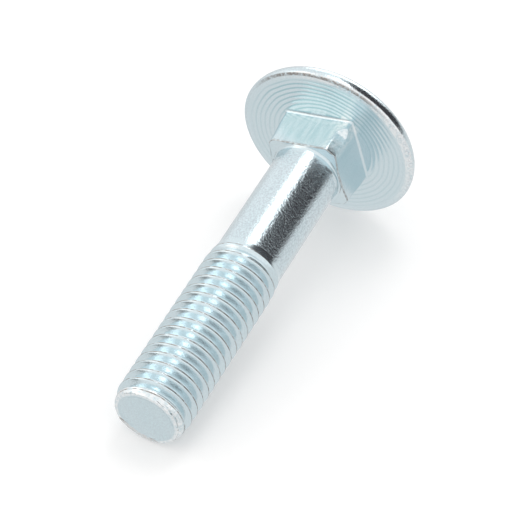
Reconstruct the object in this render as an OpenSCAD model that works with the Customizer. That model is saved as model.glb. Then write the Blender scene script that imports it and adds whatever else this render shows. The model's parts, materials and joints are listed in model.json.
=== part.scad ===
// Carriage bolt, M10 x 50: a domed head, a square neck, a plain shank and a rolled thread.
// The bolt is drawn upright, tip down, along its own axis, and then laid on its head's rim
// and the first full turn of its thread, as it comes to rest on a table.

/* [Head] */
// Diameter of the head
head_d = 24.2; // [20:0.1:26]
// Height of the head, from the seat under it to the top of the dome
head_h = 5.1; // [4.2:0.1:6]
// Radius of the edge between the seat and the rim
seat_edge_r = 0.45; // [0.2:0.05:0.8]
// Radius of the large round from the rim to the dome
rim_r = 2.3; // [1.5:0.1:3]

/* [Neck] */
// Width of the square neck across its flats
neck_w = 9.65; // [9.2:0.05:11]
// Length of the square neck, measured from the seat
neck_len = 5.5; // [4.4:0.1:8]
// Diameter across the neck's rounded corners
neck_corner_d = 12.3; // [11.6:0.1:13.4]
// Length of that rounding, measured from the neck's end next to the shank
neck_corner_len = 3.4; // [1:0.1:4]
// Angle at which each rounded corner opens out to the full square past that length
neck_corner_slope = 45; // [20:1:70]
// Height and width of the sloped bead between the neck and the seat
neck_bead = 0.35; // [0.2:0.05:0.8]
// Turn of the square neck about the bolt's axis
neck_turn = -10; // [-45:1:45]

/* [Shank] */
// Length of the bolt from the tip to the seat
bolt_len = 50; // [45:1:80]
// Diameter of the plain shank, the blank's size before the thread was rolled
shank_d = 9.03; // [8.6:0.01:9.4]

/* [Thread] */
// Diameter over the crests of the thread
thread_d = 9.85; // [9.7:0.01:10]
// Distance from one turn of the thread to the next
pitch = 1.5; // [1.25:0.05:1.75]
// Length of the full thread, measured from the tip
thread_len = 24.4; // [15:0.1:30]
// Length over which the crests come down to the shank
runout_len = 3.6; // [2.5:0.1:5]
// Width of the flat on each crest
crest_w = 0.2; // [0.1:0.01:0.3]
// Angle between the two flanks of a groove
flank_angle = 60; // [55:1:62]
// Turn of the thread about the bolt's axis
thread_turn = 201; // [0:1:360]

/* [Tip] */
// Diameter of the tip at its rounded edge
tip_d = 8.86; // [8.4:0.02:9.2]
// Radius of the rounded edge of the tip
tip_edge_r = 0.2; // [0.1:0.05:0.4]
// Length of the chamfer from the tip to the full thread
chamfer_len = 1.9; // [1:0.1:3]
// Diameter of the shallow dish that rolling leaves in the end face
dish_d = 7.1; // [5:0.1:7.6]
// Depth of that dish
dish_depth = 0.2; // [0.1:0.05:0.5]

/* [Fineness] */
// Number of flat sides to each turn of the thread
thread_sides = 30; // [20:1:36]

/* [Hidden] */

zinc = [0.78, 0.84, 0.88];
eps = 0.01;

// Head: a dome whose sphere runs on smoothly from the rim's large round.
head_r = head_d / 2;
rim_centre_x = head_r - rim_r;
dome_r = (pow(rim_centre_x, 2) + pow(head_h - seat_edge_r, 2) - rim_r * rim_r)
    / (2 * (head_h - seat_edge_r - rim_r));
dome_centre_z = head_h - dome_r;
dome_angle = atan2(rim_centre_x, seat_edge_r - dome_centre_z);

// Thread: a groove of flat bottom, sloped flanks and flat crests.
thread_r = thread_d / 2;
groove_depth = 0.54 * pitch;
flank_w = groove_depth * tan(flank_angle / 2);
root_r = thread_r - groove_depth;
// The last ring of the thread lies just under the shank's surface.
sink = 0.03;
shank_r = shank_d / 2;
thread_end_r = shank_r - sink;
thread_end = thread_len + runout_len;
// Past the full thread the groove runs out over this many turns.
groove_fade_turns = 1.75;
groove_fade_len = groove_fade_turns * pitch;
// Rows below this height are squeezed together instead of running off the end face.
squeeze_z = 0.3;
squeeze_w = 0.5;

// Rows of the thread's surface, four to a turn, as heights above the middle of a crest.
row_steps = [crest_w / 2, crest_w / 2 + flank_w, pitch - crest_w / 2 - flank_w, pitch - crest_w / 2];
row_is_crest = [true, false, false, true];
rows_per_turn = len(row_steps);
first_crest = -pitch / 2;
turns = ceil((thread_end - first_crest) / pitch) + 1;
last_row = turns * rows_per_turn;
top_ring_z = first_crest + (turns + 1) * pitch + crest_w;

// Lying pose: the floor touches the head's edge and the end of the tip's chamfer.
contact_dz = bolt_len + seat_edge_r - chamfer_len;
contact_dr = head_r - seat_edge_r - thread_r;
tilt = atan2(contact_dr, contact_dz) + asin(seat_edge_r / norm([contact_dr, contact_dz]));
lying_h = seat_edge_r + (head_r - seat_edge_r) * cos(tilt) - (bolt_len + seat_edge_r) * sin(tilt);
tip_x = -(tip_d / 2) * sin(tilt);
head_x = (bolt_len + dome_centre_z) * cos(tilt) + dome_r;
middle_x = (tip_x + head_x) / 2;

function mix(a, b, t) = a + (b - a) * max(0, min(1, t));
function ease(t) = let (u = max(0, min(1, t))) u * u * (3 - 2 * u);

// Radius of the blank's tip: a rounded edge, then the chamfer.
function tip_edge(z) = tip_d / 2 - tip_edge_r + sqrt(max(0, pow(tip_edge_r, 2) - pow(tip_edge_r - z, 2)));
function tip_slope(z) = mix(tip_d / 2, thread_r, (z - tip_edge_r) / (chamfer_len - tip_edge_r));
function tip_radius(z) = z < tip_edge_r ? tip_edge(z) : tip_slope(z);

// Radius over the crests, and at the bottom of the groove, at a height along the bolt.
function crest_radius(z) = min(tip_radius(z), mix(thread_r, thread_end_r, (z - thread_len) / runout_len));
function groove_share(z) = 1 - ease((z - thread_len) / groove_fade_len);
function groove_radius(z) = min(tip_radius(z), crest_radius(z) - (thread_r - root_r) * groove_share(z));

// One point of the thread's surface: a row of the profile, at a step round the turn.
function row_height(row, side) = first_crest + floor(row / rows_per_turn) * pitch
    + row_steps[row % rows_per_turn] + pitch * side / thread_sides;
function squeeze(z) = z >= squeeze_z ? z : squeeze_z / (1 + (squeeze_z - z) / squeeze_w);
function on_circle(r, side, z) = [r * cos(360 * side / thread_sides), r * sin(360 * side / thread_sides), z];
function thread_point(row, side) =
    let (z = squeeze(row_height(row, side)))
    on_circle(row_is_crest[row % rows_per_turn] ? crest_radius(z) : groove_radius(z), side, z);

module thread_body() {
    n = thread_sides;
    grid = [for (row = [0:last_row], side = [0:n - 1]) thread_point(row, side)];
    seam = [for (i = [1:rows_per_turn]) thread_point(last_row + i, 0)];
    low_ring = [for (side = [0:n - 1]) on_circle(crest_radius(0), side, 0)];
    top_ring = [for (side = [0:n - 1]) on_circle(thread_end_r - sink, side, top_ring_z)];
    seam_at = len(grid);
    low_at = seam_at + len(seam);
    top_at = low_at + n;

    // A row ends one turn up, where the row four above it starts.
    function at(row, side) = side == n ? at(row + rows_per_turn, 0)
        : row > last_row ? seam_at + row - last_row - 1
        : row * n + side;
    function low(side) = low_at + side % n;
    function top(side) = top_at + side % n;

    sides = [for (row = [0:last_row - 1], side = [0:n - 1]) each [
        [at(row, side), at(row + 1, side), at(row + 1, side + 1)],
        [at(row, side), at(row + 1, side + 1), at(row, side + 1)]]];
    low_skirt = [for (side = [0:n - 2]) each [
        [low(side), at(0, side), at(0, side + 1)],
        [low(side), at(0, side + 1), low(side + 1)]]];
    low_seam = concat(
        [[at(0, n - 1), low(0), low(n - 1)], [at(0, n - 1), at(0, 0), low(0)]],
        [for (i = [0:rows_per_turn - 1]) [at(0, n - 1), at(i + 1, 0), at(i, 0)]]);
    top_skirt = [for (side = [1:n - 1]) each [
        [at(last_row, side), top(side), top(side + 1)],
        [at(last_row, side), top(side + 1), at(last_row, side + 1)]]];
    top_seam = concat(
        [[at(last_row, 1), top(0), top(1)], [at(last_row, 1), at(last_row + rows_per_turn, 0), top(0)]],
        [for (i = [0:rows_per_turn - 1]) [at(last_row, 1), at(last_row + i, 0), at(last_row + i + 1, 0)]]);
    caps = [[for (side = [0:n - 1]) low(side)], [for (side = [n - 1:-1:0]) top(side)]];

    difference() {
        polyhedron(
            points = concat(grid, seam, low_ring, top_ring),
            faces = concat(sides, low_skirt, low_seam, top_skirt, top_seam, caps),
            convexity = 6);
        translate([0, 0, -eps])
            cylinder(d1 = dish_d, d2 = dish_d - 2 * dish_depth, h = dish_depth + eps, $fn = 64);
    }
}

module shank() {
    translate([0, 0, thread_end])
        cylinder(d = shank_d, h = bolt_len - neck_len - thread_end + eps, $fn = 96);
}

module neck() {
    rise = neck_len + seat_edge_r;
    corner_r = neck_corner_d / 2;
    flare_r = corner_r + (rise - neck_corner_len) * tan(neck_corner_slope);
    corner_line = [[0, 0], [corner_r, 0], [corner_r, neck_corner_len], [flare_r, rise], [0, rise]];
    rotate([0, 0, neck_turn]) {
        translate([0, 0, bolt_len - neck_len])
            intersection() {
                translate([-neck_w / 2, -neck_w / 2, 0]) cube([neck_w, neck_w, rise]);
                rotate_extrude($fn = 96) polygon(corner_line);
            }
        translate([0, 0, bolt_len - neck_bead])
            hull() {
                translate([-neck_w / 2, -neck_w / 2, 0]) cube([neck_w, neck_w, eps]);
                translate([-neck_w / 2 - neck_bead, -neck_w / 2 - neck_bead, neck_bead])
                    cube([neck_w + 2 * neck_bead, neck_w + 2 * neck_bead, seat_edge_r]);
            }
    }
}

// The head's outline, from the axis along the seat, round the rim and over the dome.
module head() {
    edge_steps = 2;
    rim_steps = 10;
    dome_steps = 14;
    // Turned a little, so that the seam of its surfaces is off the line that touches the floor.
    seam_turn = 1.875;
    edge = [for (i = [0:edge_steps]) let (a = -90 + 90 * i / edge_steps)
        [head_r - seat_edge_r + seat_edge_r * cos(a), seat_edge_r + seat_edge_r * sin(a)]];
    rim = [for (i = [1:rim_steps]) let (a = (90 - dome_angle) * i / rim_steps)
        [rim_centre_x + rim_r * cos(a), seat_edge_r + rim_r * sin(a)]];
    dome = [for (i = [1:dome_steps]) let (a = dome_angle * (1 - i / dome_steps))
        [dome_r * sin(a), dome_centre_z + dome_r * cos(a)]];
    translate([0, 0, bolt_len])
        rotate([0, 0, seam_turn])
            rotate_extrude($fn = 120) polygon(concat([[0, 0]], edge, rim, dome));
}

module lay_down() {
    translate([-middle_x, 0, lying_h]) rotate([0, 90 - tilt, 0]) children();
}

module carriage_bolt() {
    color(zinc) lay_down() union() {
        rotate([0, 0, thread_turn]) thread_body();
        shank();
        neck();
        head();
    }
}

carriage_bolt();
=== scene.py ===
# %% [markdown]
# # A zinc-plated carriage bolt
# A carriage bolt is one piece of steel wire, forged cold: a blow forms the domed head and the
# square neck, and two dies roll the thread onto the far end. It is drawn here upright, tip down,
# along its own axis, because every form on it follows that axis, and laid on the table at the end.

import json
import math

import bmesh
import bpy
import numpy as np
from mathutils import Matrix, Vector, noise

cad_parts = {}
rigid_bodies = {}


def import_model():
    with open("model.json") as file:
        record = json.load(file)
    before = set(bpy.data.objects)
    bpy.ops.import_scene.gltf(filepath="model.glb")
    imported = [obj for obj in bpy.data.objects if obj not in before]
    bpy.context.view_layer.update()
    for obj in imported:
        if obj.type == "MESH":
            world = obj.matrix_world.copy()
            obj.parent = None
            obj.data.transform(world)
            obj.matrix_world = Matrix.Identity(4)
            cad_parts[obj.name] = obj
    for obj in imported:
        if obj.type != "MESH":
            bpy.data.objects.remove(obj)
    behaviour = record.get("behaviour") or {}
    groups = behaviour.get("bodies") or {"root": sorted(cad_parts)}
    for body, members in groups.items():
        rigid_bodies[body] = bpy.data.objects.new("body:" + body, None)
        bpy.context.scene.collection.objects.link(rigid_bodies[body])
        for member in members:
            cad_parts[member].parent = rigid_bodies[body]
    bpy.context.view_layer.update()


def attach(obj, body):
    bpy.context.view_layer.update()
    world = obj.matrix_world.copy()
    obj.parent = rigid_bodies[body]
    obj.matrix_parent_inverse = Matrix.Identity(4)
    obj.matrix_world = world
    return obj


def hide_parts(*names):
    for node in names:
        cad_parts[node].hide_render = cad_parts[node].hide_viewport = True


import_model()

# %% [markdown]
# All sizes are millimetres of an M10 x 50 bolt. The mesh is made in millimetres too, and turned
# to metres when it is laid down.

# %% Sizes
MM = 0.001
BOLT_LEN = 50.0
HEAD_R, HEAD_H = 12.1, 5.1
SEAT_EDGE_R, RIM_R = 0.45, 2.3
NECK_HALF, NECK_LEN, NECK_TURN = 4.825, 5.5, math.radians(-10)
NECK_BEAD = 0.34
# The flat of the neck that faces up, as the bolt lies here.
TOP_FLAT = math.radians(170)
# The corner of the neck that is pressed flatter than the others.
FLAT_CORNER = NECK_TURN - 3 * math.pi / 4
SHANK_R = 4.515
CREST_R, PITCH, THREAD_LEN = 4.925, 1.5, 24.4
# Past the full thread: its last ridge, and where the groove and the shoulder end.
LAST_RIDGE, LAST_RIDGE_R = 26.4, 4.70
GROOVE_ENDS, SHOULDER_ENDS = 27.1, 27.3
TIP_R, TIP_EDGE_R, CHAMFER_LEN = 4.43, 0.2, 1.9
DISH_R, DISH_DEPTH = 3.55, 0.2
print("head", 2 * HEAD_R, "across,", "thread", 2 * CREST_R, "over the crests, pitch", PITCH)

# %% [markdown]
# ## How the bolt lies
# On a table the bolt rests on two circles: the small edge under the head, and the end of the
# chamfer at the tip. The line that touches both circles is the table, and its angle to the axis
# gives the tilt.

# %% The lying pose
reach = BOLT_LEN + SEAT_EDGE_R - CHAMFER_LEN
step_up = HEAD_R - SEAT_EDGE_R - CREST_R
tilt = math.atan2(step_up, reach) + math.asin(SEAT_EDGE_R / math.hypot(reach, step_up))
axis_h = (
    SEAT_EDGE_R
    + (HEAD_R - SEAT_EDGE_R) * math.cos(tilt)
    - (BOLT_LEN + SEAT_EDGE_R) * math.sin(tilt)
)
rim_centre = HEAD_R - RIM_R
dome_rise = HEAD_H - SEAT_EDGE_R
dome_r = (rim_centre**2 + dome_rise**2 - RIM_R**2) / (2 * (dome_rise - RIM_R))
dome_centre = HEAD_H - dome_r
dome_angle = math.atan2(rim_centre, SEAT_EDGE_R - dome_centre)
middle = (-TIP_R * math.sin(tilt) + (BOLT_LEN + dome_centre) * math.cos(tilt) + dome_r) / 2
lay_down = (
    Matrix.Scale(MM, 4)
    @ Matrix.Translation((-middle, 0, axis_h))
    @ Matrix.Rotation(math.pi / 2 - tilt, 4, "Y")
)
print("the axis rises", round(math.degrees(tilt), 2), "degrees; tip", lay_down @ Vector((0, 0, 0)))

# %% [markdown]
# ## Nodes
# Both the geometry trees and the materials are made of nodes. One small function adds a node,
# sets what it is told and links what it is given. A value may be a number, a socket, or a node
# that stands for its own first output.


# %% The function that adds a node
def add(tree, kind, feeds=(), **settings):
    node = tree.nodes.new(kind)
    for name, value in settings.items():
        setattr(node, name, value)
    for key, value in dict(feeds).items():
        if isinstance(value, bpy.types.Node):
            value = value.outputs[0]
        if isinstance(value, bpy.types.NodeSocket):
            tree.links.new(value, node.inputs[key])
        else:
            node.inputs[key].default_value = value
    return node


def linear(hex_colour):
    """An sRGB hex colour as the linear red, green, blue and alpha that Blender's sockets take."""
    parts = [int(hex_colour[i : i + 2], 16) / 255 for i in (1, 3, 5)]
    return [c / 12.92 if c <= 0.04045 else ((c + 0.055) / 1.055) ** 2.4 for c in parts] + [1]


# Zinc, its paler tone and its painted highlight; the tint of painted shade, the grey of pits, and the
# brown-grey of painted shade on seams and edges.
ZINC, PALE_ZINC, HIGHLIT_ZINC = "#D6E8ED", "#E0ECF1", "#F6FAFB"
SHADE_CHROMATE, PIT_GREY, SEAM_SHADE_BROWN = "#B4D2D9", "#9A98A6", "#857B74"
print("plain zinc as linear:", [round(c, 3) for c in linear(ZINC)])

# %% [markdown]
# ## Zinc plating
# Bright zinc is plated from a bath and then dipped in a clear blue chromate, which gives it a
# cold, faintly cyan shine. It is a metal all the way through, so its colour is in its reflection.
# The forged skin under it is a fine orange peel, which breaks up the edges of dark reflections
# into speckle. Its real grain is too fine to show, so it is drawn at about 0.3 mm, and the pits
# in it at 0.2 mm. Where dies have pressed on the steel the skin is smoother.
# What belongs to one place on the bolt is carried by the mesh, as an attribute on its points:
# grain, from 0, pressed smooth, to 1, forged skin; one for painted shade in the seat's turning
# marks and along the neck's flats, which is only an even deeper tint on the end face; one for
# painted shade along the crest seams, the edges and the dent; and one for painted highlights on
# edges, the dent and a flattened corner.

# %% The zinc material: what the mesh tells it
zinc = bpy.data.materials.new("zinc_plated_steel")
zinc.use_nodes = True
t = zinc.node_tree
t.nodes.clear()
grain = add(t, "ShaderNodeAttribute", attribute_name="grain")
# The next three carry painted shade, painted shade on seams and edges, and painted highlights.
furrow = add(t, "ShaderNodeAttribute", attribute_name="furrow")
seam = add(t, "ShaderNodeAttribute", attribute_name="seam")
bare = add(t, "ShaderNodeAttribute", attribute_name="bare")
coords = add(t, "ShaderNodeTexCoord")
metres = coords.outputs["Object"]
PER_MM = 1000.0
print("zinc reads", [n.attribute_name for n in t.nodes if n.type == "ATTRIBUTE"])

# %% The zinc material: colour
# Cloudy tone of the chromate, a few millimetres across.
cloud = add(t, "ShaderNodeTexNoise", {"Vector": metres, "Scale": 0.35 * PER_MM, "Detail": 3.0})
tone = add(
    t,
    "ShaderNodeMix",
    {0: cloud.outputs["Fac"], 6: linear(ZINC), 7: linear(PALE_ZINC)},
    data_type="RGBA",
)
# Painted shade in the furrows, only an even deeper tint on the end face, and painted highlights
# on edges in patches half a millimetre across.
chromate_shade_share = add(t, "ShaderNodeMath", {0: furrow.outputs["Fac"], 1: 0.5}, operation="MULTIPLY")
chromate_shaded = add(
    t,
    "ShaderNodeMix",
    {0: chromate_shade_share, 6: tone.outputs[2], 7: linear(SHADE_CHROMATE)},
    data_type="RGBA",
)
patches = add(
    t,
    "ShaderNodeTexNoise",
    {"Vector": metres, "Scale": 2.0 * PER_MM, "Detail": 4.0, "Roughness": 0.7},
)
broken = add(
    t,
    "ShaderNodeMapRange",
    {"Value": patches.outputs["Fac"], "From Min": 0.36, "From Max": 0.56},
)
painted = add(t, "ShaderNodeMath", {0: broken, 1: bare.outputs["Fac"]}, operation="MULTIPLY")
highlighted = add(
    t,
    "ShaderNodeMix",
    {0: painted, 6: chromate_shaded.outputs[2], 7: linear(HIGHLIT_ZINC)},
    data_type="RGBA",
)
# The forged skin is specked with pits that look a little darker and greyer than the rest.
pits = add(t, "ShaderNodeTexNoise", {"Vector": metres, "Scale": 5.0 * PER_MM, "Detail": 2.0})
pitted = add(
    t,
    "ShaderNodeMapRange",
    {"Value": pits.outputs["Fac"], "From Min": 0.42, "From Max": 0.6, "To Max": 0.25},
)
pitted_skin = add(t, "ShaderNodeMath", {0: pitted, 1: grain.outputs["Fac"]}, operation="MULTIPLY")
speckled = add(
    t,
    "ShaderNodeMix",
    {0: pitted_skin, 6: highlighted.outputs[2], 7: linear(PIT_GREY)},
    data_type="RGBA",
)
# Painted shade, brown-grey, along the crest seams, the burred edges and the dent, which are also duller.
seam_shade_share = add(t, "ShaderNodeMath", {0: broken, 1: seam.outputs["Fac"]}, operation="MULTIPLY")
colour = add(
    t,
    "ShaderNodeMix",
    {0: seam_shade_share, 6: speckled.outputs[2], 7: linear(SEAM_SHADE_BROWN)},
    data_type="RGBA",
)
print("zinc nodes for colour:", len(t.nodes))

# %% The zinc material: skin and shine
peel = add(
    t,
    "ShaderNodeTexNoise",
    {"Vector": metres, "Scale": 3.3 * PER_MM, "Detail": 4.0, "Roughness": 0.6},
)
peel_depth = add(t, "ShaderNodeMapRange", {"Value": grain.outputs["Fac"], "To Min": 0.1, "To Max": 1.0})
peel_height = add(t, "ShaderNodeMath", {0: peel.outputs["Fac"], 1: peel_depth}, operation="MULTIPLY")
bump = add(t, "ShaderNodeBump", {"Height": peel_height, "Strength": 1.0, "Distance": 0.045 * MM})
# Between its grains the forged skin is glossier than what dies pressed, and seams are dull.
sheen = add(t, "ShaderNodeMapRange", {"Value": cloud.outputs["Fac"], "To Min": 0.18, "To Max": 0.27})
smoother = add(
    t, "ShaderNodeMath", {0: grain.outputs["Fac"], 1: -0.07, 2: sheen}, operation="MULTIPLY_ADD"
)
rough = add(t, "ShaderNodeMath", {0: seam_shade_share, 1: 0.25, 2: smoother}, operation="MULTIPLY_ADD")
shader = add(
    t,
    "ShaderNodeBsdfPrincipled",
    {"Base Color": colour.outputs[2], "Metallic": 1.0, "Roughness": rough, "Normal": bump},
)
add(t, "ShaderNodeOutputMaterial", {"Surface": shader})
print("zinc nodes:", len(t.nodes))

# %% [markdown]
# ## The rolled thread
# Rolling presses a groove into the blank and pushes the steel up beside it, so the crests stand
# above the plain shank, and where the two sides meet a fine seam is left along each crest.
# A thread follows one rule, so Geometry Nodes make it: a flat grid whose columns go round the
# bolt and whose rows climb one pitch a turn. A row that would run past an end is held there, so
# the ends close as plain rings, and merging joins the two sides of the grid one turn apart.


# %% The outline of one turn, from crest to crest
HALF_TURN = [
    # height above the crest's middle, depth under the crest, unevenness
    (0.000, 0.045, 0.020),
    (0.040, 0.006, 0.014),
    (0.090, 0.004, 0.012),
    (0.140, 0.042, 0.008),
    (0.205, 0.132, 0.004),
    (0.340, 0.366, 0.003),
    (0.480, 0.608, 0.003),
    (0.600, 0.815, 0.003),
    (0.668, 0.915, 0.003),
    (0.720, 0.940, 0.003),
    (0.750, 0.942, 0.003),
]
outline = HALF_TURN + [(PITCH - u, depth, uneven) for u, depth, uneven in HALF_TURN[-2:0:-1]]
rows_a_turn = len(outline)
outline_mesh = bpy.data.meshes.new("thread_outline")
outline_mesh.from_pydata(outline, [], [])
outline_object = bpy.data.objects.new("thread_outline", outline_mesh)
bpy.context.scene.collection.objects.link(outline_object)
print(rows_a_turn, "rows to a turn")

# %% How far the rows run
COLUMNS = 160
# Height of a crest's middle on the side where the columns start, one turn below the tip.
FIRST_CREST = -0.0875 - PITCH
THREAD_TOP = 28.2
thread_turns = math.ceil((THREAD_TOP - FIRST_CREST) / PITCH)
thread_rows = thread_turns * rows_a_turn + 1
print(thread_rows, "rows of", COLUMNS, "columns")

# %% The thread's tree: its inputs
INPUTS = [
    ("Outline", "NodeSocketObject", outline_object),
    ("Rows", "NodeSocketInt", thread_rows),
    ("Rows a Turn", "NodeSocketInt", rows_a_turn),
    ("Columns", "NodeSocketInt", COLUMNS),
    ("Pitch", "NodeSocketFloat", PITCH),
    ("First Crest", "NodeSocketFloat", FIRST_CREST),
    ("Top", "NodeSocketFloat", THREAD_TOP),
    ("Crest Radius", "NodeSocketFloat", CREST_R),
    ("Shank Radius", "NodeSocketFloat", SHANK_R),
    ("Tip Radius", "NodeSocketFloat", TIP_R),
    ("Tip Edge", "NodeSocketFloat", TIP_EDGE_R),
    ("Chamfer Length", "NodeSocketFloat", CHAMFER_LEN),
    ("Full Thread", "NodeSocketFloat", THREAD_LEN),
    ("Last Ridge", "NodeSocketFloat", LAST_RIDGE),
    ("Last Ridge Radius", "NodeSocketFloat", LAST_RIDGE_R),
    ("Shoulder", "NodeSocketFloat", SHOULDER_ENDS),
    ("Groove Starts", "NodeSocketFloat", 0.25),
    ("Groove Ends", "NodeSocketFloat", GROOVE_ENDS),
    ("Tip Blend", "NodeSocketFloat", 0.05),
    ("Material", "NodeSocketMaterial", zinc),
]


def new_tree(name, inputs):
    tree = bpy.data.node_groups.new(name, "GeometryNodeTree")
    tree.interface.new_socket("Geometry", in_out="INPUT", socket_type="NodeSocketGeometry")
    for label, kind, _ in inputs:
        tree.interface.new_socket(label, in_out="INPUT", socket_type=kind)
    tree.interface.new_socket("Geometry", in_out="OUTPUT", socket_type="NodeSocketGeometry")
    return tree, tree.nodes.new("NodeGroupInput").outputs


def run_tree(tree, inputs, mesh):
    """Runs a tree on a mesh and returns the result as a plain mesh."""
    carrier = bpy.data.objects.new(tree.name, mesh)
    bpy.context.scene.collection.objects.link(carrier)
    modifier = carrier.modifiers.new(tree.name, "NODES")
    modifier.node_group = tree
    sockets = {s.name: s.identifier for s in tree.interface.items_tree if s.in_out == "INPUT"}
    for label, _, value in inputs:
        modifier[sockets[label]] = value
    depsgraph = bpy.context.evaluated_depsgraph_get()
    result = bpy.data.meshes.new_from_object(carrier.evaluated_get(depsgraph))
    carrier.modifiers.remove(modifier)
    bpy.data.objects.remove(carrier)
    return result


# %% The thread's tree: where each point of the grid goes
thread_tree, size = new_tree("rolled_thread", INPUTS)
t = thread_tree
across = add(t, "ShaderNodeMath", {0: size["Columns"], 1: 1.0}, operation="ADD")
grid = add(
    t,
    "GeometryNodeMeshGrid",
    {"Vertices X": size["Rows"], "Vertices Y": across, "Size X": 1.0, "Size Y": 1.0},
)
index = add(t, "GeometryNodeInputIndex")
index_mid = add(t, "ShaderNodeMath", {0: index, 1: 0.5}, operation="ADD")
row_exact = add(t, "ShaderNodeMath", {0: index_mid, 1: across}, operation="DIVIDE")
row = add(t, "ShaderNodeMath", {0: row_exact}, operation="FLOOR")
row_start = add(t, "ShaderNodeMath", {0: row, 1: across}, operation="MULTIPLY")
column = add(t, "ShaderNodeMath", {0: index, 1: row_start}, operation="SUBTRACT")
turn_share = add(t, "ShaderNodeMath", {0: column, 1: size["Columns"]}, operation="DIVIDE")
row_mid = add(t, "ShaderNodeMath", {0: row, 1: 0.5}, operation="ADD")
turn_exact = add(t, "ShaderNodeMath", {0: row_mid, 1: size["Rows a Turn"]}, operation="DIVIDE")
turn = add(t, "ShaderNodeMath", {0: turn_exact}, operation="FLOOR")
turn_start = add(t, "ShaderNodeMath", {0: turn, 1: size["Rows a Turn"]}, operation="MULTIPLY")
step = add(t, "ShaderNodeMath", {0: row, 1: turn_start}, operation="SUBTRACT")
outline_info = add(t, "GeometryNodeObjectInfo", {"Object": size["Outline"]})
place = add(t, "GeometryNodeInputPosition")
sample = add(
    t,
    "GeometryNodeSampleIndex",
    {"Geometry": outline_info.outputs["Geometry"], "Value": place, "Index": step},
    data_type="FLOAT_VECTOR",
    domain="POINT",
)
point = add(t, "ShaderNodeSeparateXYZ", {0: sample})

# %% The thread's tree: heights
turns_up = add(t, "ShaderNodeMath", {0: turn, 1: turn_share}, operation="ADD")
climbed = add(
    t, "ShaderNodeMath", {0: turns_up, 1: size["Pitch"], 2: size["First Crest"]}, operation="MULTIPLY_ADD"
)
free_height = add(t, "ShaderNodeMath", {0: climbed, 1: point.outputs["X"]}, operation="ADD")
height = add(t, "ShaderNodeClamp", {"Value": free_height, "Min": 0.0, "Max": size["Top"]})

# %% The thread's tree: radius over the crests
lip = add(t, "ShaderNodeMath", {0: size["Tip Radius"], 1: size["Tip Edge"]}, operation="SUBTRACT")
tip_round = add(
    t,
    "ShaderNodeMapRange",
    {
        "Value": height,
        "From Min": 0.0,
        "From Max": size["Tip Edge"],
        "To Min": lip,
        "To Max": size["Tip Radius"],
    },
)
chamfer_rise = add(
    t, "ShaderNodeMath", {0: size["Crest Radius"], 1: size["Tip Radius"]}, operation="SUBTRACT"
)
chamfer = add(
    t,
    "ShaderNodeMapRange",
    {
        "Value": height,
        "From Min": size["Tip Edge"],
        "From Max": size["Chamfer Length"],
        "To Min": 0.0,
        "To Max": chamfer_rise,
    },
)
tip_over = add(t, "ShaderNodeMath", {0: tip_round, 1: chamfer}, operation="ADD")
ridge = add(
    t,
    "ShaderNodeMapRange",
    {
        "Value": height,
        "From Min": size["Full Thread"],
        "From Max": size["Last Ridge"],
        "To Min": size["Crest Radius"],
        "To Max": size["Last Ridge Radius"],
    },
)
shoulder_drop = add(
    t, "ShaderNodeMath", {0: size["Shank Radius"], 1: size["Last Ridge Radius"]}, operation="SUBTRACT"
)
shoulder = add(
    t,
    "ShaderNodeMapRange",
    {
        "Value": height,
        "From Min": size["Last Ridge"],
        "From Max": size["Shoulder"],
        "To Min": 0.0,
        "To Max": shoulder_drop,
    },
    interpolation_type="SMOOTHSTEP",
)
ridge_over = add(t, "ShaderNodeMath", {0: ridge, 1: shoulder}, operation="ADD")

# %% The thread's tree: the groove under them, which fades in at the tip and out at the shank
fade_in = add(
    t,
    "ShaderNodeMapRange",
    {"Value": height, "From Min": 0.0, "From Max": size["Groove Starts"]},
    interpolation_type="SMOOTHSTEP",
)
fade_out = add(
    t,
    "ShaderNodeMapRange",
    {
        "Value": height,
        "From Min": size["Full Thread"],
        "From Max": size["Groove Ends"],
        "To Min": 1.0,
        "To Max": 0.0,
    },
    interpolation_type="SMOOTHSTEP",
)
share = add(t, "ShaderNodeMath", {0: fade_in, 1: fade_out}, operation="MULTIPLY")
depth = add(t, "ShaderNodeMath", {0: point.outputs["Y"], 1: share}, operation="MULTIPLY")
groove = add(t, "ShaderNodeMath", {0: ridge_over, 1: depth}, operation="SUBTRACT")
smooth_radius = add(
    t, "ShaderNodeMath", {0: tip_over, 1: groove, 2: size["Tip Blend"]}, operation="SMOOTH_MIN"
)

# %% The thread's tree: unevenness that rolling leaves on the crests
# It is about half a millimetre long.
angle = add(t, "ShaderNodeMath", {0: turn_share, 1: math.tau}, operation="MULTIPLY")
east = add(t, "ShaderNodeMath", {0: angle}, operation="COSINE")
north = add(t, "ShaderNodeMath", {0: angle}, operation="SINE")
east_at = add(t, "ShaderNodeMath", {0: east, 1: size["Crest Radius"]}, operation="MULTIPLY")
north_at = add(t, "ShaderNodeMath", {0: north, 1: size["Crest Radius"]}, operation="MULTIPLY")
noise_at = add(t, "ShaderNodeCombineXYZ", {"X": east_at, "Y": north_at, "Z": height})
uneven = add(t, "ShaderNodeTexNoise", {"Vector": noise_at, "Scale": 2.2, "Detail": 3.0, "Roughness": 0.65})
uneven_signed = add(
    t,
    "ShaderNodeMapRange",
    {"Value": uneven.outputs["Fac"], "From Min": 0.3, "From Max": 0.7, "To Min": -1.0},
)
uneven_size = add(t, "ShaderNodeMath", {0: point.outputs["Z"], 1: share}, operation="MULTIPLY")
radius = add(
    t, "ShaderNodeMath", {0: uneven_signed, 1: uneven_size, 2: smooth_radius}, operation="MULTIPLY_ADD"
)

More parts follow.
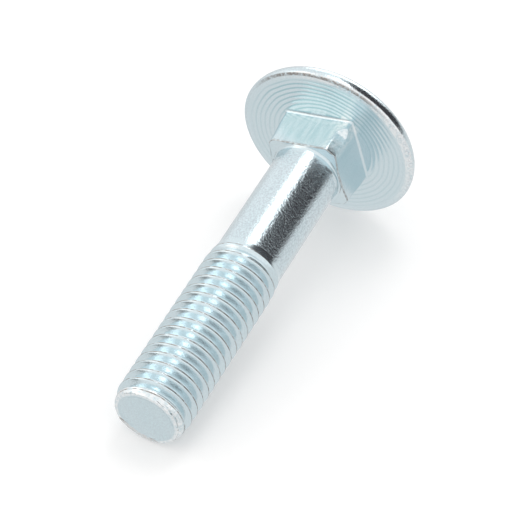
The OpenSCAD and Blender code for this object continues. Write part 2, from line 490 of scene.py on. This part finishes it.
# %% The thread's tree: wrap the grid, weld it and dress it
x = add(t, "ShaderNodeMath", {0: east, 1: radius}, operation="MULTIPLY")
y = add(t, "ShaderNodeMath", {0: north, 1: radius}, operation="MULTIPLY")
wrapped_at = add(t, "ShaderNodeCombineXYZ", {"X": x, "Y": y, "Z": height})
wrapped = add(t, "GeometryNodeSetPosition", {"Geometry": grid, "Position": wrapped_at})
WELD = 0.002
welded = add(t, "GeometryNodeMergeByDistance", {"Geometry": wrapped, "Distance": WELD})
real = add(t, "GeometryNodeRealizeInstances", {"Geometry": welded})
dressed = add(t, "GeometryNodeSetMaterial", {"Geometry": real, "Material": size["Material"]})
add(t, "NodeGroupOutput", {"Geometry": dressed})
thread_mesh = run_tree(thread_tree, INPUTS, bpy.data.meshes.new("empty"))
bpy.data.objects.remove(outline_object)
print("thread:", len(thread_mesh.vertices), "points,", len(thread_mesh.polygons), "faces")

# %% [markdown]
# ## Tip, shank, neck and head
# The rest of the bolt changes its section from round to square and back, but every section is
# still a ring round the axis. So it is lofted: rings of as many points as the thread has columns,
# from the middle of one end to the middle of the other. Towards the neck the points crowd to the
# square's four corners, where the shape turns quickly.

# %% Angles of the ring's points
even = math.tau * np.arange(COLUMNS) / COLUMNS
corner_angle = NECK_TURN + math.pi / 4
CROWDING = 0.17
crowded = even - CROWDING * np.sin(4 * (even - corner_angle))
from_flat = np.mod(crowded - NECK_TURN + math.pi / 4, math.pi / 2) - math.pi / 4
print("points are", round(math.degrees(np.diff(crowded).min()), 2), "degrees apart at a corner")


# %% The square section
def soft_min(a, b, width):
    """The smaller of two, with the corner between them rounded over a width."""
    h = np.clip(0.5 + 0.5 * (b - a) / width, 0, 1)
    return b * (1 - h) + a * h - width * h * (1 - h)


def square_radius(half, sharpness=34.0):
    """Radius of a square of that half width in each point's direction, its corners a little worn."""
    c, s = np.abs(np.cos(from_flat)), np.abs(np.sin(from_flat))
    return half / (c**sharpness + s**sharpness) ** (1 / sharpness)


# Radius over the neck's corners, at heights above the neck's end. One corner is pressed flatter.
CORNER_AT = (0.0, 1.6, 3.4, 3.9, 4.15, 4.6)
CORNER_R = (6.35, 6.43, 6.67, 6.74, 6.80, 7.00)
FLAT_CORNER_R = (6.07, 6.02, 6.06, 6.38, 6.80, 7.00)
flat_corner = np.cos(crowded - FLAT_CORNER) > math.cos(math.pi / 4)
CORNER_BLEND = 0.2


def neck_radius(z):
    """The square neck, its corners rounded off."""
    up = z - (BOLT_LEN - NECK_LEN)
    pressed, plain = np.interp(up, CORNER_AT, FLAT_CORNER_R), np.interp(up, CORNER_AT, CORNER_R)
    return soft_min(square_radius(NECK_HALF), np.where(flat_corner, pressed, plain), CORNER_BLEND)


ONE = np.ones(COLUMNS)
rings = []


def ring(r, z, angles=None):
    rings.append((r * ONE, z * ONE, crowded if angles is None else angles))


# %% The tip's end face, from its middle to the lip
# The dish's edge slopes over half a millimetre, a quarter to each side of its nominal radius.
DISH_SLOPE = 0.5
SLOPE_STEPS = 6
dish_floor = DISH_R - DISH_SLOPE / 2
end_rings = []
for share_out in (0.25, 0.5, 0.7, 0.85, 0.95, 1.0):
    end_rings.append((share_out * dish_floor, DISH_DEPTH))
for i in range(1, SLOPE_STEPS + 1):
    a = i / SLOPE_STEPS
    rise = a * a * (3 - 2 * a)
    end_rings.append((dish_floor + DISH_SLOPE * a, DISH_DEPTH * (1 - rise)))
for r in (4.0, 4.12, TIP_R - TIP_EDGE_R):
    end_rings.append((r, 0.0))
print(len(end_rings), "rings on the end face")

# %% The neck's end edge, which forging pushed out along the shank
FILLET, EDGE = 0.4, 0.12
FILLET_STEPS, EDGE_STEPS = 6, 4
NECK_END = BOLT_LEN - NECK_LEN
BOW = 0.4
# How far to each side of a flat's middle the bow reaches.
BOW_REACH = math.radians(38)


def bow_at(angles):
    """How far the edge is pushed out: most in the middle of a flat, and not at all on the top one."""
    off_flat = np.mod(angles - NECK_TURN + math.pi / 4, math.pi / 2) - math.pi / 4
    swell = np.clip(1 - (off_flat / BOW_REACH) ** 2, 0, 1)
    return BOW * swell * (np.cos(angles - TOP_FLAT) < math.cos(math.pi / 4))


bow = bow_at(crowded)
end_r = neck_radius(NECK_END) - EDGE
print("bowed out by up to", round(bow.max(), 2), "mm")

# %% The shank, and the small fillet where it meets the neck
SHANK_STEPS = 16
ring(SHANK_R, THREAD_TOP, even)
for i in range(1, SHANK_STEPS + 1):
    a = i / SHANK_STEPS
    z = THREAD_TOP + (NECK_END - FILLET - THREAD_TOP) * a
    ring(SHANK_R, z, even + (crowded - even) * a)
for i in range(1, FILLET_STEPS + 1):
    a = math.pi / 2 * i / FILLET_STEPS
    fillet_r = np.minimum(SHANK_R + FILLET * (1 - math.cos(a)), end_r)
    ring(fillet_r, NECK_END - FILLET * (1 - math.sin(a)) - bow * i / FILLET_STEPS)

# %% The neck: end face, edge and sides
for out in (0.35, 0.7):
    ring(fillet_r + (end_r - fillet_r) * out, NECK_END - bow)
for i in range(0, EDGE_STEPS + 1):
    a = math.pi / 2 * i / EDGE_STEPS
    ring(end_r + EDGE * math.sin(a), NECK_END - bow + EDGE * (1 - math.cos(a)))
NECK_STEPS = 22
bead_start = BOLT_LEN - NECK_BEAD
for i in range(1, NECK_STEPS + 1):
    a = i / NECK_STEPS
    z = NECK_END + EDGE + (bead_start - NECK_END - EDGE) * a
    ring(neck_radius(z), z - bow * (1 - a) ** 2)
print(len(rings), "rings up to the bead")

# %% The bead that joins the neck to the seat
# It is widest on the side that faces up, by this share.
BEAD_SWELL = 0.9
BEAD_STEPS = 6
widened = np.clip(np.cos(2 * (crowded - TOP_FLAT)), 0, 1) * (np.cos(crowded - TOP_FLAT) > 0)
bead_w = NECK_BEAD * (1 + BEAD_SWELL * widened)
for i in range(1, BEAD_STEPS + 1):
    a = math.pi / 2 * i / BEAD_STEPS
    bead = square_radius(NECK_HALF + bead_w * (1 - math.cos(a)))
    # Its lower half still follows the neck's rounded corners where they reach further out.
    if i <= BEAD_STEPS // 2:
        bead = np.maximum(bead, neck_radius(bead_start))
    ring(bead, bead_start + NECK_BEAD * math.sin(a))
bead_edge = square_radius(NECK_HALF + bead_w)
print("bead", NECK_BEAD, "to", round(bead_w.max(), 2), "mm wide")

# %% The seat under the head, in rings fine enough for its turning marks
ROUND_FROM = 7.7
SEAT_STEP = 0.075
INNER_STEPS = 26
for i in range(1, INNER_STEPS + 1):
    ring(bead_edge + (ROUND_FROM - bead_edge) * i / INNER_STEPS, BOLT_LEN)
ROLL_FROM, ROLL, ROLL_STEPS = 11.1, 0.1, 6
outer_steps = round((ROLL_FROM - ROUND_FROM) / SEAT_STEP)
for i in range(1, outer_steps + 1):
    ring(ROUND_FROM + (ROLL_FROM - ROUND_FROM) * i / outer_steps, BOLT_LEN)
# Forging leaves the seat's last half millimetre rolled off before its edge.
seat_r = HEAD_R - SEAT_EDGE_R
for i in range(1, ROLL_STEPS + 1):
    a = i / ROLL_STEPS
    ring(ROLL_FROM + (seat_r - ROLL_FROM) * a, BOLT_LEN + ROLL * a * a)
print(INNER_STEPS + outer_steps + ROLL_STEPS, "rings on the seat")

# %% The seat's small edge, the rim's round and the dome
SEAT_EDGE_STEPS, RIM_STEPS, DOME_STEPS = 8, 12, 18
for i in range(1, SEAT_EDGE_STEPS + 1):
    a = math.pi / 2 * i / SEAT_EDGE_STEPS
    ring(seat_r + SEAT_EDGE_R * math.sin(a), BOLT_LEN + ROLL + (SEAT_EDGE_R - ROLL) * (1 - math.cos(a)))
for i in range(1, RIM_STEPS + 1):
    a = (math.pi / 2 - dome_angle) * i / RIM_STEPS
    ring(rim_centre + RIM_R * math.cos(a), BOLT_LEN + SEAT_EDGE_R + RIM_R * math.sin(a))
for i in range(1, DOME_STEPS):
    a = dome_angle * (1 - i / DOME_STEPS)
    ring(dome_r * math.sin(a), BOLT_LEN + dome_centre + dome_r * math.cos(a))
print(len(rings), "rings from the shank to the dome")


# %% Lofts as meshes
def loft(name, sections, pole_low=None, pole_high=None):
    """A mesh through rings given as radius, height and angle of each point, closed at a pole."""
    points, faces = [], []
    for r, z, angles in sections:
        points += list(zip(r * np.cos(angles), r * np.sin(angles), z))
    for k in range(len(sections) - 1):
        for j in range(COLUMNS):
            a, b = k * COLUMNS + j, k * COLUMNS + (j + 1) % COLUMNS
            faces.append((a, b, b + COLUMNS, a + COLUMNS))
    last = (len(sections) - 1) * COLUMNS
    if pole_low is not None:
        points.append((0, 0, pole_low))
        faces += [(len(points) - 1, (j + 1) % COLUMNS, j) for j in range(COLUMNS)]
    if pole_high is not None:
        points.append((0, 0, pole_high))
        faces += [(len(points) - 1, last + j, last + (j + 1) % COLUMNS) for j in range(COLUMNS)]
    mesh = bpy.data.meshes.new(name)
    mesh.from_pydata([[float(c) for c in p] for p in points], [], faces)
    return mesh


end_mesh = loft("end_face", [(r * ONE, z * ONE, even) for r, z in end_rings], pole_low=DISH_DEPTH)
body_mesh = loft("shank_neck_head", rings, pole_high=BOLT_LEN + HEAD_H)
print("end face", len(end_mesh.polygons), "faces, body", len(body_mesh.polygons))

# %% [markdown]
# ## Turning marks under the head
# The die that forms the underside of the head was turned on a lathe, and its fine circular
# ridges print into every bolt. They repeat at an even step from the axis, so a small tree pushes
# the seat's points up and down with a wave of their distance from the axis.

# %% The tree for the turning marks
MARK_HEIGHT = 0.012
MARKS_FROM = 5.4
RING_INPUTS = [
    ("Seat Height", "NodeSocketFloat", BOLT_LEN),
    ("Spacing", "NodeSocketFloat", 0.66),
    ("Height", "NodeSocketFloat", MARK_HEIGHT),
    ("Waver", "NodeSocketFloat", 0.35),
    ("Inner Radius", "NodeSocketFloat", MARKS_FROM),
    ("Full from Radius", "NodeSocketFloat", 6.2),
    ("Full to Radius", "NodeSocketFloat", 10.6),
    ("Outer Radius", "NodeSocketFloat", ROLL_FROM),
    ("Material", "NodeSocketMaterial", zinc),
]
ring_tree, size = new_tree("turning_marks", RING_INPUTS)
t = ring_tree
position = add(t, "GeometryNodeInputPosition")
xyz = add(t, "ShaderNodeSeparateXYZ", {0: position})
flat = add(t, "ShaderNodeCombineXYZ", {"X": xyz.outputs["X"], "Y": xyz.outputs["Y"]})
away = add(t, "ShaderNodeVectorMath", {0: flat}, operation="LENGTH")
# A slow waver, several millimetres long, keeps the marks from being perfect circles.
waver = add(t, "ShaderNodeTexNoise", {"Vector": flat, "Scale": 0.25, "Detail": 1.0})
shifted = add(
    t,
    "ShaderNodeMath",
    {0: waver.outputs["Fac"], 1: size["Waver"], 2: away.outputs["Value"]},
    operation="MULTIPLY_ADD",
)
waves = add(t, "ShaderNodeMath", {0: shifted, 1: size["Spacing"]}, operation="DIVIDE")
turns_of = add(t, "ShaderNodeMath", {0: waves, 1: math.tau}, operation="MULTIPLY")
wave = add(t, "ShaderNodeMath", {0: turns_of}, operation="SINE")
fade_lo = add(
    t,
    "ShaderNodeMapRange",
    {
        "Value": away.outputs["Value"],
        "From Min": size["Inner Radius"],
        "From Max": size["Full from Radius"],
    },
)
fade_hi = add(
    t,
    "ShaderNodeMapRange",
    {
        "Value": away.outputs["Value"],
        "From Min": size["Full to Radius"],
        "From Max": size["Outer Radius"],
        "To Min": 1.0,
        "To Max": 0.0,
    },
)
fades = add(t, "ShaderNodeMath", {0: fade_lo, 1: fade_hi}, operation="MULTIPLY")
lift = add(t, "ShaderNodeMath", {0: wave, 1: size["Height"]}, operation="MULTIPLY")
lift_here = add(t, "ShaderNodeMath", {0: lift, 1: fades}, operation="MULTIPLY")
offset = add(t, "ShaderNodeCombineXYZ", {"Z": lift_here})
on_seat = add(
    t,
    "FunctionNodeCompare",
    {"A": xyz.outputs["Z"], "B": size["Seat Height"], "Epsilon": 0.001},
    operation="EQUAL",
)
marked = add(
    t, "GeometryNodeSetPosition", {"Geometry": size["Geometry"], "Selection": on_seat, "Offset": offset}
)
real = add(t, "GeometryNodeRealizeInstances", {"Geometry": marked})
dressed = add(t, "GeometryNodeSetMaterial", {"Geometry": real, "Material": size["Material"]})
add(t, "NodeGroupOutput", {"Geometry": dressed})
marked_mesh = run_tree(ring_tree, RING_INPUTS, body_mesh)
print("marked body:", len(marked_mesh.polygons), "faces")

# %% [markdown]
# ## One closed skin
# The three parts share their end rings, so welding them gives one closed mesh, as the real bolt
# is one piece of metal.

# %% Weld the parts
bm = bmesh.new()
for part in (thread_mesh, end_mesh, marked_mesh):
    bm.from_mesh(part)
SKIN_WELD = 0.0005
bmesh.ops.remove_doubles(bm, verts=bm.verts, dist=SKIN_WELD)
bmesh.ops.recalc_face_normals(bm, faces=bm.faces)
open_edges = sum(1 for e in bm.edges if len(e.link_faces) != 2)
volume = bm.calc_volume(signed=True)
if volume < 0:
    bmesh.ops.reverse_faces(bm, faces=bm.faces)
print("open edges:", open_edges, "volume in mm3:", round(volume, 1))


# %% [markdown]
# ## The skin, and the light and shade painted on it
# The skin is roughest on the shank and the dome, where little has pressed on it, and smoother on
# the neck, the seat and the thread. Shade is painted into the turning marks, along the neck's flats,
# the crest seams and the edges, and highlights are painted on edges, some of both stronger on one
# side of the bolt. Neither is shape, so each point of the mesh gets four numbers that the zinc
# reads. They are worked out from where the point is, while the bolt still stands upright and its
# sizes apply.


# %% How forged or how pressed the skin is
def step_between(a, b, v):
    s = np.clip((v - a) / (b - a), 0, 1)
    return s * s * (3 - 2 * s)


THREAD_SKIN, SHANK_SKIN, NECK_SKIN, HEAD_SKIN, END_SKIN = 0.25, 1.0, 0.2, 0.8, 0.5
# Heights over which the shank's skin begins, past the thread, and ends, at the neck.
SHANK_BEGINS, SHANK_ENDS = (26.9, 27.6), (44.0, 44.6)
bm.verts.ensure_lookup_table()
at = np.array([v.co[:] for v in bm.verts])
r_at, z_at, angle_at = np.hypot(at[:, 0], at[:, 1]), at[:, 2], np.arctan2(at[:, 1], at[:, 0])
on_shank = step_between(*SHANK_BEGINS, z_at) * (1 - step_between(*SHANK_ENDS, z_at))
skin = THREAD_SKIN + (SHANK_SKIN - THREAD_SKIN) * on_shank
skin = np.where(z_at > NECK_END - BOW - 0.01, NECK_SKIN, skin)
skin = np.where((r_at > seat_r) | (z_at > BOLT_LEN + 0.2), HEAD_SKIN, skin)
on_end_face = (z_at < 0.25) & (r_at < 3.9)
skin = np.where(on_end_face, END_SKIN, skin)
print("skin from", skin.min(), "to", skin.max())

# %% Painted shade: in the turning marks' valleys, and in streaks that the die drew along the neck's flats
# The painted shade is stronger on the side of the bolt that faces up.
TOP_SIDE = math.radians(175)
top_side = np.clip(np.cos(angle_at - TOP_SIDE), 0, 1) ** 2
on_seat_face = (np.abs(z_at - BOLT_LEN) < 1.01 * MARK_HEIGHT) & (r_at > MARKS_FROM)
chromate_shade_depth = np.where(on_seat_face, np.clip((BOLT_LEN - z_at) / MARK_HEIGHT, -1, 1), 0)
chromate_shade_depth *= 0.6 + 2.4 * top_side
on_neck = (z_at > NECK_END + EDGE) & (z_at < BOLT_LEN - NECK_BEAD)
on_flats = on_neck & (r_at < NECK_HALF * math.sqrt(2) + 0.1)
# The streaks' noise changes four times a millimetre across the flat, and slowly along it.
STREAKS_ACROSS, STREAKS_ALONG = 4, 0.35
streak_scale = Vector((STREAKS_ACROSS, STREAKS_ACROSS, STREAKS_ALONG))
streaks = np.array([noise.noise(Vector(p) * streak_scale) for p in at[on_flats]])
chromate_shade_depth[on_flats] = np.clip(0.45 + 1.5 * streaks, 0, 1.4) * (0.2 + 0.8 * top_side[on_flats])
# On the end face it is only an even, deeper tint.
chromate_shade_depth = np.where(on_end_face, 0.2, chromate_shade_depth)
print(int(on_flats.sum()), "points on the neck's flats")

# %% Painted shade along the seam of each crest, and round the edges of the neck, the seat and the tip
NECK_EDGE_SHADE, SEAT_EDGE_SHADE, END_EDGE_SHADE = 0.7, 0.8, 0.45
climb = (z_at - FIRST_CREST) / PITCH - np.mod(angle_at, math.tau) / math.tau
off_crest = np.abs(climb - np.round(climb)) * PITCH
crest_seam_shade = (1 - step_between(0.03, 0.10, off_crest)) * (z_at > 0.3) * (z_at < LAST_RIDGE)
above_end = z_at - NECK_END + bow_at(angle_at)
neck_edge = (above_end > 0.001) & (above_end < EDGE + 0.01) & (r_at > NECK_HALF - 0.1)
seat_edge = (r_at > seat_r - 0.02) & (z_at < BOLT_LEN + 0.22) & (z_at > BOLT_LEN)
end_edge = (z_at < 0.03) & (r_at > 4.25)
seam_shade_depth = np.maximum(crest_seam_shade, neck_edge * NECK_EDGE_SHADE)
# On the seat's edge the painted shade lies only on the side that faces up.
seam_shade_depth = np.maximum(seam_shade_depth, seat_edge * SEAT_EDGE_SHADE * step_between(0.3, 0.8, top_side))
seam_shade_depth = np.maximum(seam_shade_depth, end_edge * END_EDGE_SHADE)
print(int((seam_shade_depth > 0).sum()), "points in seams")

# %% Painted highlights: round the tip, on the front of the rim, and on the neck's flattened corner
TIP_HIGHLIT, RIM_HIGHLIT, FACET_HIGHLIT, DENT_HIGHLIT = 1.1, 1.3, 0.7, 1.2
FRONT_SIDE = math.radians(-135)
front_side = np.clip(np.cos(angle_at - FRONT_SIDE), 0, 1)
near_rim = (r_at > ROLL_FROM + 0.1) & (z_at > BOLT_LEN + 0.003) & (z_at < BOLT_LEN + 0.6)
on_facet = (np.cos(angle_at - FLAT_CORNER) > math.cos(math.radians(14))) & (r_at < 6.6)
highlit_share = np.where((z_at < 0.9) & (r_at > 3.9), TIP_HIGHLIT, 0)
# On the rim the painted highlight fades out away from the front side.
highlit_share = np.where(near_rim, RIM_HIGHLIT * front_side, highlit_share)
highlit_share = np.where(on_facet & (z_at > NECK_END + EDGE) & (r_at > NECK_HALF), FACET_HIGHLIT, highlit_share)
print(int((highlit_share > 0).sum()), "points rubbed bare")

# %% [markdown]
# ## Burr, worn edge and dent
# A bolt that was forged cold is never as crisp as its drawing. The die leaves a ragged burr on
# the neck's end edge, tumbling wears the edge of the tip, and one knock has pushed a part of that
# edge back. Each is a small move of points along the axis, so the skin stays closed, and the
# unevenness is a smooth noise of the point's place, so it comes out the same every time.

# %% A ragged burr on the neck's end edge, a worn edge round the tip, and one dent in it
# The burr's height, how fine its noise is, and how much more than half of the edge it covers.
BURR, BURR_SCALE, BURR_SHARE = 0.07, 1.1, 0.3
# The wear's height and fineness, the radius that it starts at, and how far up the bolt it goes.
WEAR, WEAR_SCALE, WORN_FROM, WORN_UP_TO = 0.12, 1.3, 3.4, 1.2
# The dent is a plane across the tip's edge, on the side towards the table. It starts this far
# from the axis, and its painted shade is darkest over the width of its rim.
DENT_ANGLE = math.radians(25)
DENT_FROM, DENT_RIM = 3.05, 0.3
# How much painted shade the dent's rim and the rest of the dent get.
DENT_RIM_SHADE, DENT_INNER_SHADE = 0.7, 0.3
dent_slope = math.tan(math.radians(9))
dented = 0
for k, vertex in enumerate(bm.verts):
    if neck_edge[k]:
        vertex.co.z -= BURR * max(0, noise.noise(vertex.co * BURR_SCALE) + BURR_SHARE)
    elif vertex.co.z < WORN_UP_TO:
        lip = max(0, math.hypot(vertex.co.x, vertex.co.y) - WORN_FROM) * (WORN_UP_TO - vertex.co.z)
        vertex.co.z = max(0, vertex.co.z + WEAR * lip * noise.noise(vertex.co * WEAR_SCALE))
        under = vertex.co.x * math.cos(DENT_ANGLE) + vertex.co.y * math.sin(DENT_ANGLE)
        dent = (under - DENT_FROM) * dent_slope
        if dent > vertex.co.z:
            vertex.co.z = dent
            # The dent is painted with a highlight, and with shade that is darker on its rim.
            highlit_share[k] = DENT_HIGHLIT
            seam_shade_depth[k] = DENT_RIM_SHADE if under < DENT_FROM + DENT_RIM else DENT_INNER_SHADE
            dented += 1
print(dented, "points in the dent")

# %% Lay it down and name it
bm.transform(lay_down)
bolt_mesh = bpy.data.meshes.new("carriage_bolt_skin")
bm.to_mesh(bolt_mesh)
bm.free()
# The last three numbers carry painted shade and painted highlights.
for name, values in (("grain", skin), ("furrow", chromate_shade_depth), ("seam", seam_shade_depth), ("bare", highlit_share)):
    attribute = bolt_mesh.attributes.new(name, "FLOAT", "POINT")
    attribute.data.foreach_set("value", values.astype(np.float32))
bolt_mesh.materials.clear()
bolt_mesh.materials.append(zinc)
bolt_mesh.polygons.foreach_set("material_index", np.zeros(len(bolt_mesh.polygons), np.int32))
bolt_mesh.shade_smooth()
bolt = bpy.data.objects.new("bolt", bolt_mesh)
bpy.context.scene.collection.objects.link(bolt)
bolt_mesh.calc_loop_triangles()
print("bolt:", len(bolt_mesh.loop_triangles), "triangles")
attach(bolt, "root")
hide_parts("carriage_bolt")

# %% [markdown]
# ## Table
# The bolt lies on white paper. A matt white shows the soft shadow that tells the eye it lies on
# something, and a little glow, which only the camera sees, brings the paper up to white without
# more light on the bolt. A metal mirrors what is round it, so the paper has a level of its own
# for the zinc: an even white, a little under the sky's.

# %% Table
FLOOR_HALF = 1.5
PAPER_WHITE = (0.8, 0.8, 0.8, 1)
PAPER_GLOW = 0.25
FLOOR_IN_METAL = 0.82
floor_mesh = bpy.data.meshes.new("table_top")
floor_corners = [(-1, -1), (1, -1), (1, 1), (-1, 1)]
floor_mesh.from_pydata([(FLOOR_HALF * x, FLOOR_HALF * y, 0) for x, y in floor_corners], [], [(0, 1, 2, 3)])
table = bpy.data.objects.new("table_top", floor_mesh)
bpy.context.scene.collection.objects.link(table)
paper = bpy.data.materials.new("white_paper")
paper.use_nodes = True
t = paper.node_tree
t.nodes.clear()
path = add(t, "ShaderNodeLightPath")
matt = add(t, "ShaderNodeBsdfDiffuse", {"Color": PAPER_WHITE})
glow = add(t, "ShaderNodeEmission", {"Color": (1, 1, 1, 1), "Strength": PAPER_GLOW})
both = add(t, "ShaderNodeAddShader", {0: matt, 1: glow})
even_white = add(t, "ShaderNodeEmission", {"Color": (1, 1, 1, 1), "Strength": FLOOR_IN_METAL})
to_camera = add(t, "ShaderNodeMixShader", {0: path.outputs["Is Camera Ray"], 1: matt, 2: both})
to_metal = add(t, "ShaderNodeMixShader", {0: path.outputs["Is Glossy Ray"], 1: to_camera, 2: even_white})
add(t, "ShaderNodeOutputMaterial", {"Surface": to_metal})
floor_mesh.materials.append(paper)
print("table", 2 * FLOOR_HALF, "m across")

# %% [markdown]
# ## World
# The studio round the bolt is white too. It lights at 0.9, and the camera and the metal see it
# at 1, which is plain white.

# %% World
WORLD_LIGHT, WORLD_SEEN = 0.9, 1.0
world = bpy.data.worlds.new("studio")
bpy.context.scene.world = world
world.use_nodes = True
t = world.node_tree
t.nodes.clear()
path = add(t, "ShaderNodeLightPath")
seen_plain = add(
    t,
    "ShaderNodeMath",
    {0: path.outputs["Is Camera Ray"], 1: path.outputs["Is Glossy Ray"]},
    operation="MAXIMUM",
)
seen = add(
    t, "ShaderNodeMath", {0: seen_plain, 1: path.outputs["Is Transmission Ray"]}, operation="MAXIMUM"
)
level = add(t, "ShaderNodeMapRange", {"Value": seen, "To Min": WORLD_LIGHT, "To Max": WORLD_SEEN})
sky = add(t, "ShaderNodeBackground", {"Color": (1, 1, 1, 1), "Strength": level})
add(t, "ShaderNodeOutputWorld", {"Surface": sky})
print("world lights at", WORLD_LIGHT)

# %% [markdown]
# ## Lamps and dark cards
# Bright metal in a white room looks like paper, because it has nothing but white to mirror. Four
# soft lamps give it highlights, and three dark cards out of sight give it the dark bands along
# the shank and the rim that make it read as metal. The cards are seen only in reflections and
# cast no shadow.


# %% Aiming, and one soft lamp
def aim(obj, azimuth, elevation, distance):
    """Puts an object in that direction from the bolt, facing it."""
    az, el = math.radians(azimuth), math.radians(elevation)
    towards = Vector((math.cos(el) * math.cos(az), math.cos(el) * math.sin(az), math.sin(el)))
    obj.location = towards * distance
    obj.rotation_mode = "QUATERNION"
    obj.rotation_quaternion = (-towards).to_track_quat("-Z", "Y")


def softbox(name, azimuth, elevation, distance, wide, long, radiance, colour):
    lamp = bpy.data.lights.new(name, "AREA")
    lamp.shape = "RECTANGLE"
    lamp.size, lamp.size_y = wide, long
    lamp.energy = radiance * math.pi * wide * long
    lamp.color = colour
    holder = bpy.data.objects.new(name, lamp)
    bpy.context.scene.collection.objects.link(holder)
    aim(holder, azimuth, elevation, distance)


# %% The lamps
WHITE, WARM = (1, 1, 1), (1, 0.7, 0.5)
LAMPS = [
    # name, azimuth, elevation, distance, width, length, radiance, colour
    ("overhead_box", 2, 62.7, 0.7, 0.24, 0.4, 2.2, WHITE),
    ("back_box", 8, 9, 0.7, 0.5, 0.2, 1.6, WHITE),
    ("side_box", 95, 42, 0.7, 0.26, 0.3, 1.0, WHITE),
    ("fill_box", 138, 28, 0.7, 0.34, 0.34, 0.5, WARM),
]
for lamp_row in LAMPS:
    softbox(*lamp_row)
print(len(LAMPS), "lamps")


# %% One dark card
CARD_TINT = (1, 0.93, 1, 1)


def card(name, corners, distance, grey):
    """A dark card whose corners stand in those directions, as pairs of azimuth and elevation."""
    points = []
    for az, el in corners:
        az, el = math.radians(az), math.radians(el)
        level_out = distance * math.cos(el)
        points.append([level_out * math.cos(az), level_out * math.sin(az), distance * math.sin(el)])
    mesh = bpy.data.meshes.new(name)
    mesh.from_pydata(points, [], [tuple(range(len(points)))])
    obj = bpy.data.objects.new(name, mesh)
    bpy.context.scene.collection.objects.link(obj)
    dark = bpy.data.materials.new(name)
    dark.use_nodes = True
    dark.node_tree.nodes.clear()
    shade = add(dark.node_tree, "ShaderNodeEmission", {"Color": CARD_TINT, "Strength": grey})
    add(dark.node_tree, "ShaderNodeOutputMaterial", {"Surface": shade})
    mesh.materials.append(dark)
    obj.visible_camera = False
    obj.visible_diffuse = False
    obj.visible_shadow = False


# %% The dark cards
BAND_CORNERS = [
    (-20, 62), (-50, 61), (-64, 48), (-68, 25), (-64, 2), (-40, 0), (-20, 0),
    (-12, 9), (-1, 18), (8, 34), (-1, 48), (-12, 57),
]
CARDS = [
    # name, corners, distance, grey
    ("dark_card", BAND_CORNERS, 0.6, 0.06),
    ("rim_card", [(-36, -8), (-12, -8), (-14, 10), (-36, 10)], 0.125, 0.05),
    ("low_card", [(152, -6), (131, -8), (133, 8), (152, 8)], 0.11, 0.05),
]
for card_row in CARDS:
    card(*card_row)
print(len(CARDS), "dark cards")

# %% [markdown]
# ## Camera
# A long lens from 0.4 m away keeps the bolt's sides nearly parallel. It looks down over the tip
# and along the bolt to the underside of the head.

# %% Camera
CAMERA_AT = Vector((-0.28102, -0.14411, 0.27901))
LOOKS_DOWN, HEADING = 40.424, -63.011
camera_data = bpy.data.cameras.new("camera")
camera_data.lens = 233.85
camera_data.sensor_width = 36.0
camera_data.clip_start = 0.01
camera = bpy.data.objects.new("camera", camera_data)
bpy.context.scene.collection.objects.link(camera)
camera.location = CAMERA_AT
camera.rotation_euler = (math.radians(90 - LOOKS_DOWN), 0, math.radians(HEADING))
bpy.context.scene.camera = camera
bpy.context.scene.view_settings.view_transform = "Standard"
print("camera", round(CAMERA_AT.length, 3), "m away")
